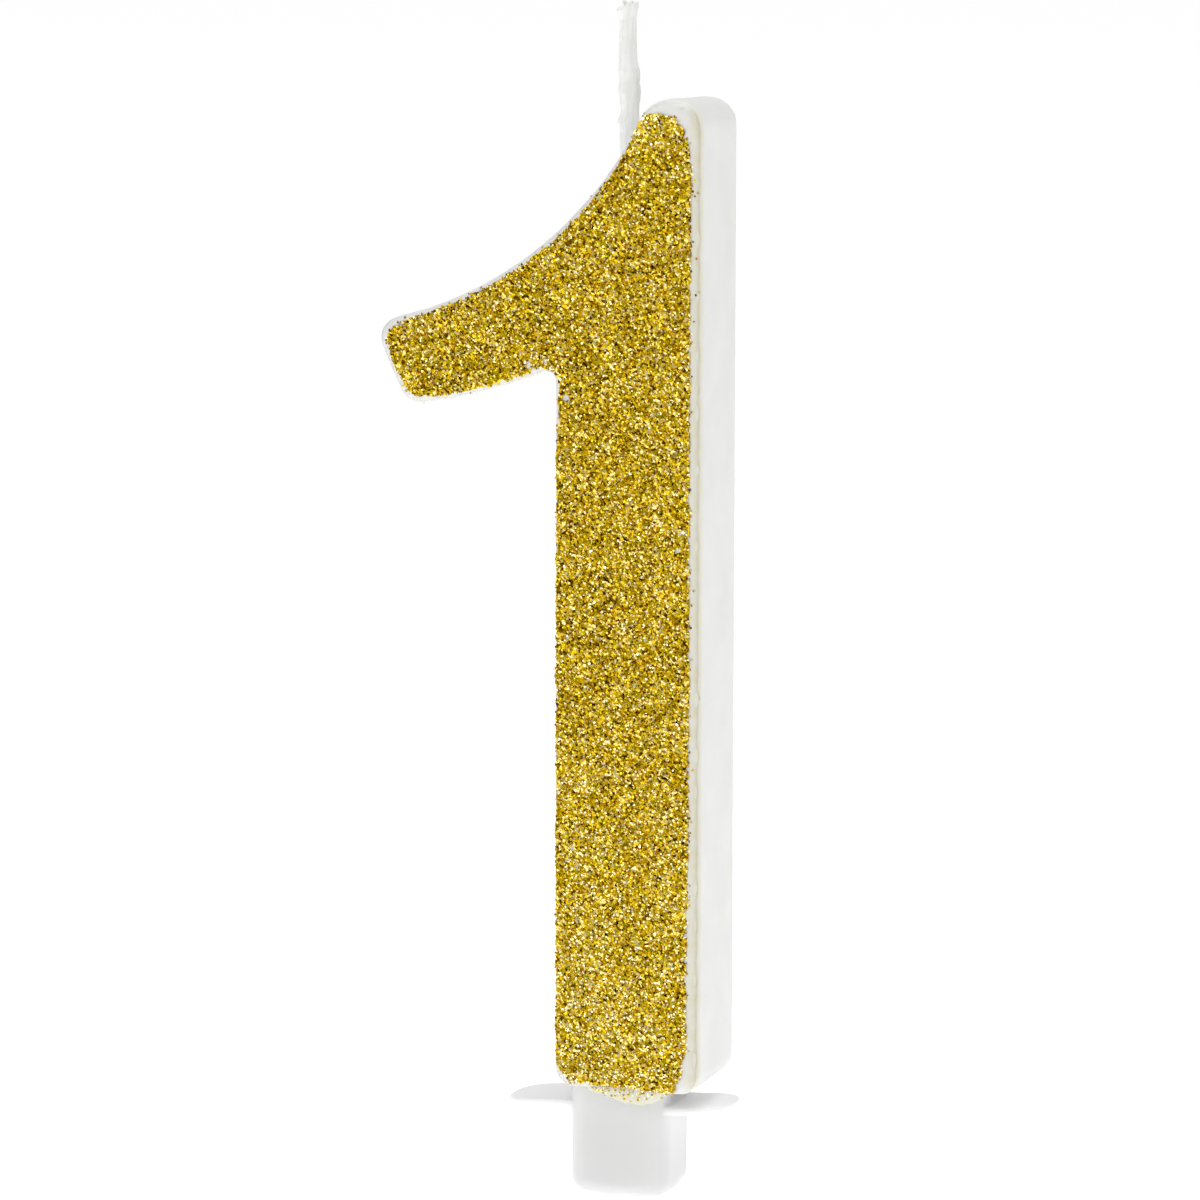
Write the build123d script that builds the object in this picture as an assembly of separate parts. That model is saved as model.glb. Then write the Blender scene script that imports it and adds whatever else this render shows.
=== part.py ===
from build123d import *

import os

# Number-one birthday candle: moulded wax digit, wick, glitter face and push-in cake holder.
#
# Units are millimetres. X runs across the digit, Y runs from the glitter face to the plain back,
# and Z is up. The origin is the centre of the underside of the holder's wings, the level at
# which the icing of the cake lies. The glitter face looks towards -Y.

# ---------------------------------------------------------------- driving dimensions

# Cake holder
wing_span = 31.2
wing_depth = 10.6
wing_thickness = 0.95
wing_corner = 4.4
wing_edge_round = 0.3
cup_x = 0.72  # the cup stands a little to the right of the wings' middle
cup_width = 13.9  # at the rim
cup_depth = 12.0
cup_corner = 2.6
cup_drop = 12.3  # from the wings' underside to the lowest point of the cup
cup_dome = 1.0  # how far the middle of the closed end bulges below its edge
cup_end_round = 2.4
cup_wall = 0.85
cup_floor = 1.5
socket_end_round = 1.0
cup_draft = 0.8  # degrees of taper towards the closed end, as a moulding has

# Wax digit
digit_bottom = 3.3  # height of the wax shoulder, which rests on the cup's rim
digit_height = 130.7
digit_thickness = 16.0
stem_x = 2.67  # middle of the stem, to the right of the wings' middle
stem_width = 20.05
front_round = 1.0  # rounded edge round the glitter face
back_round = 0.5

# Tang of the wax, which drops into the cup
tang_clearance = 0.15
tang_length = 11.8
tang_root = 0.5  # how far the tang reaches up into the digit, so that the two join
tang_end_round = 1.3

# Wick
wick_x = 0.2
wick_diameter = 2.1
braid_diameter = 1.4
wick_top = 146.4
wick_foot = -6.6  # the wick ends a little above the foot of the tang

# Glitter face
glue_rim = 0.75  # bare wax left round the glue
glitter_rim = 1.05  # bare wax left round the glitter
glue_thickness = 0.12
glitter_thickness = 0.28

# Glue that ran down over the lower edge of the face and set under the shoulder
bead_left = -3.6  # from the middle of the stem
bead_right = 5.0
bead_bottom = 2.1
bead_top = 4.8
bead_depth = 1.7
bead_round = 0.8

digit_top = digit_bottom + digit_height
front_y = -digit_thickness / 2
os.makedirs("parts", exist_ok=True)


# ---------------------------------------------------------------- helpers


def rounded_block(width, depth, corner, bottom, top):
    """An upright block with rounded corners between two heights."""
    plan = RectangleRounded(width, depth, corner)
    return Pos(0, 0, bottom) * extrude(plan, amount=top - bottom)


def tapered_block(width, depth, corner, top, bottom):
    """A block on the cup's upright axis that narrows downwards by the cup's draft."""
    plan = Pos(cup_x, 0, top) * RectangleRounded(width, depth, corner)
    return extrude(plan, amount=bottom - top, taper=cup_draft)


def digit_outline():
    """The digit seen from the front. X is counted from the middle of the stem."""
    half = stem_width / 2
    bottom_left = (-half, digit_bottom)
    bottom_right = (half, digit_bottom)
    top_right = (half, digit_top)
    top_left = (2.7, digit_top)
    sweep_middle = (-12.4, 114.4)
    flag_tip = (-35.4, 104.0)
    flag_heel = (-30.55, 93.0)
    under_middle = (-19.5, 95.3)
    armpit = (-half, 98.7)
    corner_radii = {
        bottom_left: 2.8,
        bottom_right: 2.8,
        top_right: 3.8,
        top_left: 4.2,
        flag_tip: 2.9,
        flag_heel: 3.4,
        armpit: 1.2,
    }
    edges = [
        Line(bottom_left, bottom_right),
        Line(bottom_right, top_right),
        Line(top_right, top_left),
        ThreePointArc(top_left, sweep_middle, flag_tip),
        Line(flag_tip, flag_heel),
        ThreePointArc(flag_heel, under_middle, armpit),
        Line(armpit, bottom_left),
    ]
    outline = make_face(edges)
    for corner, radius in corner_radii.items():
        vertex = outline.vertices().sort_by_distance((corner[0], corner[1], 0))[0]
        outline = fillet(vertex, radius)
    return outline


def upright_plate(outline, front, thickness):
    """A plate of the given outline, its front face at Y = front, thickening towards +Y."""
    plane = Plane(origin=(stem_x, front, 0), x_dir=(1, 0, 0), z_dir=(0, -1, 0))
    return plane * extrude(outline, amount=-thickness)


def edges_at_y(solid, level):
    """The edges of a solid that lie wholly in the plane Y = level."""
    return [e for e in solid.edges() if abs(e.bounding_box().min.Y - level) < 1e-4
            and abs(e.bounding_box().max.Y - level) < 1e-4]


# ---------------------------------------------------------------- cake holder


def make_cup():
    """The cup before it is hollowed: drafted sides and a slightly domed, rounded end."""
    cup = tapered_block(cup_width, cup_depth, cup_corner, digit_bottom, -cup_drop - 1)
    half_width = cup_width / 2
    dome_radius = (half_width**2 + cup_dome**2) / (2 * cup_dome)
    dome = Pos(cup_x, 0, dome_radius - cup_drop) * Sphere(dome_radius)
    cup = cup & dome
    return fillet(cup.faces().sort_by(Axis.Z)[0].edges(), cup_end_round)


def make_cake_holder():
    """One moulding: a blind cup with a pair of rounded wings round its upper part."""
    wings = rounded_block(wing_span, wing_depth, wing_corner, 0, wing_thickness)
    wings = fillet(wings.faces().sort_by(Axis.Z)[-1].edges(), wing_edge_round)
    socket_width = cup_width - 2 * cup_wall
    socket_depth = cup_depth - 2 * cup_wall
    socket_corner = cup_corner - cup_wall
    socket_bottom = cup_floor - cup_drop
    socket = tapered_block(socket_width, socket_depth, socket_corner, digit_bottom, socket_bottom)
    socket = fillet(socket.faces().sort_by(Axis.Z)[0].edges(), socket_end_round)
    return make_cup() + wings - socket


# ---------------------------------------------------------------- candle


def make_wick_rod(diameter):
    """A straight round rod along the wick's line, from its foot to its tip."""
    return Pos(wick_x, 0, wick_foot) * extrude(Circle(diameter / 2), amount=wick_top - wick_foot)


def make_wax_body():
    """The moulded digit and its tang, with a hole where the wick is cast in."""
    digit = upright_plate(digit_outline(), front_y, digit_thickness)
    digit = fillet(edges_at_y(digit, front_y), front_round)
    digit = fillet(edges_at_y(digit, front_y + digit_thickness), back_round)
    tang_width = cup_width - 2 * (cup_wall + tang_clearance)
    tang_depth = cup_depth - 2 * (cup_wall + tang_clearance)
    tang_corner = cup_corner - cup_wall
    tang_foot = digit_bottom - tang_length
    tang = tapered_block(tang_width, tang_depth, tang_corner, digit_bottom, tang_foot)
    tang = fillet(tang.faces().sort_by(Axis.Z)[0].edges(), tang_end_round)
    root_top = digit_bottom + tang_root
    root = rounded_block(tang_width, tang_depth, tang_corner, digit_bottom, root_top)
    root = Pos(cup_x, 0, 0) * root
    return digit + root + tang - make_wick_rod(wick_diameter)


def make_face_layer(rim, thickness, behind):
    """A thin layer on the glitter face, set in from the digit's edge by rim."""
    outline = offset(digit_outline(), amount=-rim)
    return upright_plate(outline, front_y - behind - thickness, thickness)


def make_glue_film(wax):
    """The clear glue under the glitter, with the bead that ran below the wax's lower edge."""
    film = make_face_layer(glue_rim, glue_thickness, 0)
    film_front = front_y - glue_thickness
    bead_width = bead_right - bead_left
    bead_height = bead_top - bead_bottom
    bead = Box(bead_width, bead_depth, bead_height, align=(Align.MIN, Align.MIN, Align.MIN))
    bead = fillet(bead.edges().filter_by(Axis.Y), bead_round)
    bead = Pos(stem_x + bead_left, film_front, bead_bottom) * bead
    return film + (bead - wax)


wax_digit = make_wax_body()
parts = {
    "cake_holder": make_cake_holder(),
    "wax_digit": wax_digit,
    "wick_braid": make_wick_rod(braid_diameter),
    "wick_wax_coat": make_wick_rod(wick_diameter) - make_wick_rod(braid_diameter),
    "glue_film": make_glue_film(wax_digit),
    "glitter_coat": make_face_layer(glitter_rim, glitter_thickness, glue_thickness),
}

for name, shape in parts.items():
    export_step(shape, f"parts/{name}.step")
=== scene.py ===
"""The looks of a number-one birthday candle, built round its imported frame.

Lengths are in metres in the frame's own axes: the glitter face looks towards -Y and Z is up.
"""

import logging
import math
import random
from collections.abc import Callable, Iterable
from dataclasses import dataclass, field
from enum import Enum

import bpy
import numpy as np
from mathutils import Matrix, Quaternion, Vector, noise
from mathutils.bvhtree import BVHTree


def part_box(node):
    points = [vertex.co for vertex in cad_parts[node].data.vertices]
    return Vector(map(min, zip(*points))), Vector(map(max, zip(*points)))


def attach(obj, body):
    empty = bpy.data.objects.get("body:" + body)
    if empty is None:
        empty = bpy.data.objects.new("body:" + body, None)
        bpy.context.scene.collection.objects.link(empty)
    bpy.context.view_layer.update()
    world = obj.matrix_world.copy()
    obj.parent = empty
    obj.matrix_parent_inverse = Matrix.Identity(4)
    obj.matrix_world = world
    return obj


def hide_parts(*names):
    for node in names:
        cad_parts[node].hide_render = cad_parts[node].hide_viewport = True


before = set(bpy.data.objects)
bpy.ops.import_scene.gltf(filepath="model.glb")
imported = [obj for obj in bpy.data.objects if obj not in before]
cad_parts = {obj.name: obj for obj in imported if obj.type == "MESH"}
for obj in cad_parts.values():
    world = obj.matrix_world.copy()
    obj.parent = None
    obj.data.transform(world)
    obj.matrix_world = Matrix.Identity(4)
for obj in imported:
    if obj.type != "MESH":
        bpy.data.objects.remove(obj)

MM = 0.001
CLEAR_OF_FACE = 5 * MM  # how far in front of the face a ray towards it starts
NO_GOLD = 1.0  # a margin wider than the digit
log = logging.getLogger("candle")

Colour = tuple[float, float, float]
Triple = tuple[float, float, float]
Object = bpy.types.Object
Material = bpy.types.Material


# ------------------------------------------------------------------ small modelling helpers


def clear_selection() -> None:
    """Deselects every object."""
    bpy.ops.object.select_all(action="DESELECT")


def take_in_hand(piece: Object) -> Object:
    """Selects one piece alone and makes it active.

    Args:
        piece: the object to work on.

    Returns:
        The same object.
    """
    clear_selection()
    piece.select_set(True)
    bpy.context.view_layer.objects.active = piece
    return piece


def add_object(name: str, data: bpy.types.ID) -> Object:
    """Makes an object and links it to the scene.

    Args:
        name: the object's name.
        data: its mesh, curve, camera or light.

    Returns:
        The new object.
    """
    thing = bpy.data.objects.new(name, data)
    bpy.context.scene.collection.objects.link(thing)
    return thing


def join_up(name: str, pieces: list[Object]) -> Object:
    """Joins meshes or curves into one mesh.

    Args:
        name: the joined piece's name.
        pieces: what is joined. The first takes in the others.

    Returns:
        The joined piece.
    """
    clear_selection()
    for piece in pieces:
        piece.select_set(True)
    bpy.context.view_layer.objects.active = pieces[0]
    bpy.ops.object.convert(target="MESH")
    bpy.ops.object.join()
    joined = bpy.context.view_layer.objects.active
    joined.name = name
    return joined


def touch_map(mesh: bpy.types.Mesh, polygons: Iterable[bpy.types.MeshPolygon]) -> BVHTree:
    """A map of some of a mesh's polygons, which finds the nearest or the first one hit."""
    return BVHTree.FromPolygons([v.co for v in mesh.vertices], [p.vertices for p in polygons])


def smoothstep(value: float, start: float, end: float) -> float:
    """A soft step from 0 at start to 1 at end."""
    t = min(1.0, max(0.0, (value - start) / (end - start)))
    return t * t * (3 - 2 * t)


def apply_modifier(piece: Object, kind: str, **settings: object) -> None:
    """Adds one modifier to a piece and applies it.

    Args:
        piece: the mesh object.
        kind: Blender's modifier type.
        settings: the modifier's own settings.
    """
    take_in_hand(piece)
    modifier = piece.modifiers.new(kind.title(), kind)
    for key, value in settings.items():
        setattr(modifier, key, value)
    bpy.ops.object.modifier_apply(modifier=modifier.name)


def bake_place(piece: Object) -> Object:
    """Moves a piece's place, turn and scale into its mesh, so that its object sits at the origin."""
    take_in_hand(piece)
    bpy.ops.object.transform_apply(location=True, rotation=True, scale=True)
    return piece


def copy_of_node(node: str, name: str) -> Object:
    """A merged copy of a frame node's mesh, for shaping.

    Args:
        node: the frame node's name.
        name: the new piece's name.

    Returns:
        The new object, with no materials.
    """
    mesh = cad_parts[node].data.copy()
    mesh.materials.clear()
    piece = take_in_hand(add_object(name, mesh))
    bpy.ops.object.mode_set(mode="EDIT")
    bpy.ops.mesh.select_all(action="SELECT")
    bpy.ops.mesh.remove_doubles(threshold=0.001 * MM)
    bpy.ops.mesh.normals_make_consistent(inside=False)
    bpy.ops.object.mode_set(mode="OBJECT")
    return piece


def recast(piece: Object, voxel: float, passes: int) -> None:
    """Turns a piece's mesh into an even skin of small quads and softens its corners.

    Args:
        piece: the mesh object.
        voxel: the edge of a quad.
        passes: how many times the skin is smoothed.
    """
    apply_modifier(piece, "REMESH", mode="VOXEL", voxel_size=voxel, use_smooth_shade=True)
    apply_modifier(piece, "SMOOTH", factor=0.5, iterations=passes)


def vertex_array(piece: Object, reading: str = "co") -> np.ndarray:
    """Reads a value of every vertex of a piece.

    Args:
        piece: the piece.
        reading: "co" for the vertices' places or "normal" for their normals.

    Returns:
        Rows of x, y and z.
    """
    flat = np.empty(len(piece.data.vertices) * 3)
    piece.data.vertices.foreach_get(reading, flat)
    return flat.reshape(-1, 3)


def set_vertices(piece: Object, places: np.ndarray) -> None:
    """Writes the piece's vertices back."""
    piece.data.vertices.foreach_set("co", places.ravel())
    piece.data.update()


def wear(piece: Object, *materials: Material) -> None:
    """Gives a piece its materials, in order.

    Args:
        piece: the piece.
        materials: one material for each slot.
    """
    piece.data.materials.clear()
    for material in materials:
        piece.data.materials.append(material)


def hand_over(piece: Object, body: str, slot: str, *nodes: str) -> None:
    """Rides a finished piece on its body and hides the frame nodes that it replaces.

    Args:
        piece: the finished piece.
        body: the frame body that it moves with.
        slot: the record's material slot; not used.
        nodes: the frame nodes that it replaces.
    """
    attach(piece, body)
    if nodes:
        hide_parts(*nodes)
    log.info("%s: %d faces on %s", piece.name, len(piece.data.polygons), body)


def box_of(node: str) -> tuple[Vector, Vector]:
    """The lowest and highest corners of a frame node."""
    low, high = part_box(node)
    return Vector(low), Vector(high)


def foot_of_gold() -> float:
    """The Z of the glitter's lower edge, above the run of glue."""
    return box_of("glue_film")[0].z + 1.2 * MM


# ------------------------------------------------------------------ finishes


class ShaderBench:
    """Builds one material's shader from nodes that read the object's own coordinates."""

    def __init__(self, name: str) -> None:
        """Starts a material with a principled surface."""
        self.material = bpy.data.materials.new(name)
        self.material.use_nodes = True
        self.nodes = self.material.node_tree.nodes
        self.nodes.clear()
        self.surface = self.add("ShaderNodeBsdfPrincipled")
        output = self.add("ShaderNodeOutputMaterial")
        self.join(self.surface.outputs["BSDF"], output.inputs["Surface"])
        self.place = self.add("ShaderNodeTexCoord").outputs["Object"]

    def add(self, kind: str, **settings: object) -> bpy.types.Node:
        """Adds a node and sets its own settings.

        Args:
            kind: the node's type.
            settings: the node's own settings.

        Returns:
            The node.
        """
        node = self.nodes.new(kind)
        for key, value in settings.items():
            setattr(node, key, value)
        return node

    def join(self, output: bpy.types.NodeSocket, target: bpy.types.NodeSocket) -> None:
        """Links an output to an input."""
        self.material.node_tree.links.new(output, target)

    def fix(self, **values: object) -> None:
        """Sets uniform values on the surface's own sockets, with _ for a space in a name."""
        for key, value in values.items():
            self.surface.inputs[key.replace("_", " ")].default_value = value

    def stretched(self, scale: Triple) -> bpy.types.NodeSocket:
        """The object's coordinates, scaled along each axis.

        Args:
            scale: scale factors along X, Y and Z.

        Returns:
            The scaled coordinates.
        """
        mapping = self.add("ShaderNodeMapping")
        mapping.inputs["Scale"].default_value = scale
        self.join(self.place, mapping.inputs["Vector"])
        return mapping.outputs["Vector"]

    def grain(self, size: float, detail: float = 3.0, stretch: Triple = (1, 1, 1)) -> bpy.types.NodeSocket:
        """Noise whose lumps are about size across.

        Args:
            size: the lumps' width.
            detail: how many finer layers the noise has.
            stretch: scale factors along X, Y and Z.

        Returns:
            The noise's factor output.
        """
        node = self.add("ShaderNodeTexNoise")
        node.inputs["Scale"].default_value = 1 / size
        node.inputs["Detail"].default_value = detail
        self.join(self.stretched(stretch), node.inputs["Vector"])
        return node.outputs["Fac"]

    def spread(self, source: bpy.types.NodeSocket, low: float, high: float,
               start: float = 0.3, end: float = 0.7) -> bpy.types.NodeSocket:
        """Maps the range start to end of a value onto low to high.

        Args:
            source: the value to map.
            low: the result at start.
            high: the result at end.
            start: where the range begins.
            end: where the range ends.

        Returns:
            The mapped value, clamped.
        """
        node = self.add("ShaderNodeMapRange")
        for key, value in (("From Min", start), ("From Max", end), ("To Min", low), ("To Max", high)):
            node.inputs[key].default_value = value
        self.join(source, node.inputs["Value"])
        return node.outputs["Result"]

    def times(self, first: bpy.types.NodeSocket, second: bpy.types.NodeSocket) -> bpy.types.NodeSocket:
        """The product of two values.

        Args:
            first: one value.
            second: the other.

        Returns:
            Their product.
        """
        node = self.add("ShaderNodeMath", operation="MULTIPLY")
        self.join(first, node.inputs[0])
        self.join(second, node.inputs[1])
        return node.outputs[0]

    def axis(self, letter: str) -> bpy.types.NodeSocket:
        """One of the object's own coordinates.

        Args:
            letter: X, Y or Z.

        Returns:
            The coordinate.
        """
        node = self.add("ShaderNodeSeparateXYZ")
        self.join(self.place, node.inputs[0])
        return node.outputs[letter]

    def blend(self, factor: bpy.types.NodeSocket, first: object, second: object) -> bpy.types.NodeSocket:
        """Mixes two colours, each a colour or an output, by a factor.

        Args:
            factor: the share of the second colour.
            first: the colour at 0.
            second: the colour at 1.

        Returns:
            The mixed colour.
        """
        node = self.add("ShaderNodeMix", data_type="RGBA")
        self.join(factor, node.inputs[0])
        for value, target in ((first, node.inputs[6]), (second, node.inputs[7])):
            if isinstance(value, tuple):
                target.default_value = (*value, 1)
            else:
                self.join(value, target)
        return node.outputs[2]

    def relief(self, *layers: tuple[bpy.types.NodeSocket, float]) -> None:
        """Adds bump layers to the surface, each a height output and its depth.

        Args:
            layers: the layers, from the lowest up.
        """
        previous = None
        for height, depth in layers:
            node = self.add("ShaderNodeBump")
            node.inputs["Distance"].default_value = depth
            self.join(height, node.inputs["Height"])
            if previous:
                self.join(previous, node.inputs["Normal"])
            previous = node.outputs["Normal"]
        self.join(previous, self.surface.inputs["Normal"])

    def feed(self, **sources: bpy.types.NodeSocket) -> None:
        """Links outputs to the surface's sockets, with _ for a space in a name."""
        for key, source in sources.items():
            self.join(source, self.surface.inputs[key.replace("_", " ")])


@dataclass(frozen=True)
class WaxFinish:
    """Poured white paraffin: soft, faintly translucent, with a yellow-beige tint near the glitter face."""

    clean: Colour = (0.775, 0.78, 0.76)
    bloom: Colour = (0.815, 0.815, 0.80)
    tint: Colour = (0.80, 0.72, 0.42)
    tint_depth: float = 1.9 * MM

    def make(self, name: str, front: float, right: float) -> Material:
        """Builds the material.

        Args:
            name: the material's name.
            front: the Y of the glitter face.
            right: the X of the stem's right side, where the tint is strongest.

        Returns:
            The material.
        """
        bench = ShaderBench(name)
        mottled = bench.blend(bench.spread(bench.grain(7 * MM), 0, 1), self.clean, self.bloom)
        edge = front + self.tint_depth
        near_face = bench.spread(bench.axis("Y"), 1, 0, front, edge)
        at_right = bench.spread(bench.axis("X"), 0.22, 0.75, right - 2 * MM, right)
        ragged = bench.spread(bench.grain(2.5 * MM, 4), 0.35, 1)
        # the wax turns yellow-beige and a little darker near the glitter face, most on the right side
        tinted_near_face = bench.times(bench.times(near_face, at_right), ragged)
        bench.feed(
            Base_Color=bench.blend(tinted_near_face, mottled, self.tint),
            Roughness=bench.spread(bench.grain(3 * MM), 0.36, 0.52),
        )
        bench.fix(
            Subsurface_Weight=0.3,
            Subsurface_Radius=(1, 0.85, 0.6),
            Subsurface_Scale=2 * MM,
            IOR=1.44,
        )
        bench.relief((bench.grain(2.2 * MM, 2), 0.05 * MM), (bench.grain(0.35 * MM, 3), 0.012 * MM))
        return bench.material


@dataclass(frozen=True)
class Grain:
    """The size, fineness and stretch of a noise."""

    size: float
    detail: float = 3.0
    stretch: Triple = (1, 1, 1)


@dataclass(frozen=True)
class TwoToneFinish:
    """A finish whose colour drifts between two tones, with its own gloss, relief and depth."""

    name: str
    tones: tuple[Colour, Colour]
    drift: Grain
    gloss: Grain
    roughness: tuple[float, float]
    relief: tuple[tuple[Grain, float], ...]
    skin: dict[str, object] = field(default_factory=dict)  # uniform values of the surface

    def make(self) -> Material:
        """Builds the material.

        Returns:
            The material.
        """
        bench = ShaderBench(self.name)
        drift, gloss = (bench.grain(g.size, g.detail, g.stretch) for g in (self.drift, self.gloss))
        bench.feed(
            Base_Color=bench.blend(bench.spread(drift, 0, 1), *self.tones),
            Roughness=bench.spread(gloss, *self.roughness),
        )
        bench.fix(**self.skin)
        bench.relief(*((bench.grain(g.size, g.detail, g.stretch), depth) for g, depth in self.relief))
        return bench.material


DRAWN_WAX = Grain(0.45 * MM, 4, (1, 1, 0.12))
FIBRES = Grain(0.09 * MM, 5, (1, 1, 0.25))

# White wax dragged lengthwise over cotton.
WICK_WAX = TwoToneFinish(
    name="wick_primer_wax",
    tones=((0.80, 0.80, 0.77), (0.93, 0.93, 0.92)),
    drift=DRAWN_WAX,
    gloss=Grain(0.8 * MM),
    roughness=(0.42, 0.62),
    relief=((DRAWN_WAX, 0.08 * MM), (Grain(0.15 * MM), 0.02 * MM)),
    skin={"Subsurface_Weight": 0.25, "Subsurface_Radius": (1, 0.9, 0.7), "Subsurface_Scale": 0.6 * MM},
)

# Bleached cotton yarn.
COTTON = TwoToneFinish(
    name="wick_cotton_yarn",
    tones=((0.78, 0.76, 0.70), (0.95, 0.94, 0.91)),
    drift=FIBRES,
    gloss=FIBRES,
    roughness=(0.75, 0.95),
    relief=((FIBRES, 0.05 * MM),),
    skin={"Sheen_Weight": 0.4, "Sheen_Roughness": 0.5},
)

# White moulded plastic with a satin skin and faint flow marks.
MOULDED_PLASTIC = TwoToneFinish(
    name="white_moulded_plastic",
    tones=((0.87, 0.875, 0.875), (0.85, 0.855, 0.855)),
    drift=Grain(5 * MM, 3, (0.4, 1, 1.6)),
    gloss=Grain(2 * MM),
    roughness=(0.3, 0.42),
    relief=((Grain(1.4 * MM, 2), 0.02 * MM),),
    skin={
        "Subsurface_Weight": 0.9,
        "Subsurface_Radius": (1, 1, 1),
        "Subsurface_Scale": 2.5 * MM,
        "IOR": 1.49,
    },
)


@dataclass(frozen=True)
class GlueFinish:
    """Clear glue over white wax: no colour of its own where it is thin, pale yellow where it pooled."""

    thin: Colour = (0.77, 0.768, 0.745)
    warm: Colour = (0.66, 0.61, 0.39)
    pooled: Colour = (0.72, 0.70, 0.50)

    def make(self, name: str, right: float, foot: float) -> Material:
        """Builds the material.

        Args:
            name: the material's name.
            right: the X of the digit's right side, where the glue lay thicker.
            foot: the Z below which it pooled.

        Returns:
            The material.
        """
        bench = ShaderBench(name)
        uneven = bench.spread(bench.grain(1.6 * MM, 3), 0.4, 1)
        rightwards = bench.spread(bench.axis("X"), 0, 0.9, right - 2.2 * MM, right - 0.4 * MM)
        at_right = bench.times(rightwards, uneven)
        thicker = bench.blend(at_right, self.thin, self.warm)
        downwards = bench.spread(bench.axis("Z"), 1, 0, foot - 0.4 * MM, foot + 0.5 * MM)
        in_pool = bench.times(downwards, uneven)
        bench.feed(
            Base_Color=bench.blend(in_pool, thicker, self.pooled),
            Roughness=bench.spread(bench.grain(0.6 * MM), 0.29, 0.38),
        )
        bench.fix(IOR=1.47)
        bench.relief((bench.grain(1.6 * MM, 3), 0.04 * MM))
        return bench.material


class FoilToneWithPaintedLight(Enum):
    """The tones of gold foil in the glitter: colour, share of the flakes and roughness. The darkest tone
    is partly painted shade and the palest tones are partly painted glints, over the foil's own spread of
    tones.
    """

    # painted shade: this darkest tone stands for flakes in shade or mirroring dark surroundings, as well
    # as the foil's own darker tone
    BRONZE_PAINTED_SHADE = ((0.13, 0.062, 0.001), 0.10, 0.34)
    AMBER = ((0.46, 0.22, 0.004), 0.09, 0.30)
    OLIVE = ((0.32, 0.27, 0.004), 0.07, 0.30)
    OLD_GOLD = ((0.49, 0.32, 0.003), 0.26, 0.26)
    GOLD = ((0.76, 0.54, 0.016), 0.22, 0.22)
    BRIGHT_GOLD = ((0.95, 0.76, 0.17), 0.15, 0.20)
    # painted glints: these palest tones stand for flakes that catch a lamp, as well as the foil's own
    # paler tone
    CHAMPAGNE_PAINTED_GLINT = ((1.0, 0.86, 0.42), 0.09, 0.20)
    SPARK_PAINTED_GLINT = ((1.0, 0.93, 0.56), 0.02, 0.16)

    @property
    def colour(self) -> Colour:
        """The foil's colour."""
        return self.value[0]

    @property
    def share(self) -> float:
        """The share of the flakes that have this tone."""
        return self.value[1]

    @property
    def roughness(self) -> float:
        """How much the foil blurs what it mirrors."""
        return self.value[2]


FOIL_EDGE = (1.0, 0.80, 0.12, 1)  # the tint of what foil mirrors at a low angle


@dataclass(frozen=True)
class FoilFinish:
    """One tone of metallised foil."""

    tone: FoilToneWithPaintedLight

    def make(self) -> Material:
        """Builds the tone's material.

        Returns:
            The material.
        """
        bench = ShaderBench(f"foil_{self.tone.name.lower()}")
        bench.fix(
            Base_Color=(*self.tone.colour, 1),
            Metallic=1.0,
            Roughness=self.tone.roughness,
            Specular_Tint=FOIL_EDGE,
        )
        return bench.material


@dataclass(frozen=True)
class GlitterBedFinish:
    """Packed foil grains, each cell with its own tone, gloss and tilt. The darkest tone is partly painted
    shade and the palest tones are partly painted glints.
    """

    grain: float = 0.32 * MM
    tilt: float = 0.6

    def make(self, name: str) -> Material:
        """Builds the material.

        Args:
            name: the material's name.

        Returns:
            The material.
        """
        bench = ShaderBench(name)
        cells = bench.add("ShaderNodeTexVoronoi")
        cells.inputs["Scale"].default_value = 1 / self.grain
        bench.join(bench.place, cells.inputs["Vector"])
        parts = bench.add("ShaderNodeSeparateColor")
        bench.join(cells.outputs["Color"], parts.inputs[0])
        bench.feed(
            Base_Color=self.tones(bench, parts.outputs[0]),
            Roughness=bench.spread(parts.outputs[1], 0.2, 0.42, 0, 1),
        )
        bench.fix(Metallic=1.0, Specular_Tint=FOIL_EDGE)
        self.tilt_cells(bench, cells.outputs["Color"])
        return bench.material

    def tones(self, bench: ShaderBench, chance: bpy.types.NodeSocket) -> bpy.types.NodeSocket:
        """A stepped ramp that gives each foil tone its share of the cells.

        Args:
            bench: the material's bench.
            chance: each cell's own value from 0 to 1.

        Returns:
            The cell's colour.
        """
        # the ramp's darkest stop is partly painted shade and its palest stops are partly painted glints
        ramp = bench.add("ShaderNodeValToRGB")
        ramp.color_ramp.interpolation = "CONSTANT"
        start = 0.0
        for index, tone in enumerate(FoilToneWithPaintedLight):
            if index < 2:
                stop = ramp.color_ramp.elements[index]
                stop.position = start
            else:
                stop = ramp.color_ramp.elements.new(start)
            stop.color = (*tone.colour, 1)
            start += tone.share
        bench.join(chance, ramp.inputs[0])
        return ramp.outputs["Color"]

    def tilt_cells(self, bench: ShaderBench, random_colour: bpy.types.NodeSocket) -> None:
        """Leans each cell's normal its own way.

        Args:
            bench: the material's bench.
            random_colour: each cell's own direction.
        """
        centred = bench.add("ShaderNodeVectorMath", operation="SUBTRACT")
        centred.inputs[1].default_value = (0.5, 0.5, 0.5)
        bench.join(random_colour, centred.inputs[0])
        leaning = bench.add("ShaderNodeVectorMath", operation="SCALE")
        leaning.inputs["Scale"].default_value = 2 * self.tilt
        bench.join(centred.outputs[0], leaning.inputs[0])
        added = bench.add("ShaderNodeVectorMath", operation="ADD")
        bench.join(bench.add("ShaderNodeNewGeometry").outputs["Normal"], added.inputs[0])
        bench.join(leaning.outputs[0], added.inputs[1])
        unit = bench.add("ShaderNodeVectorMath", operation="NORMALIZE")
        bench.join(added.outputs[0], unit.inputs[0])
        bench.feed(Normal=unit.outputs[0])


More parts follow.
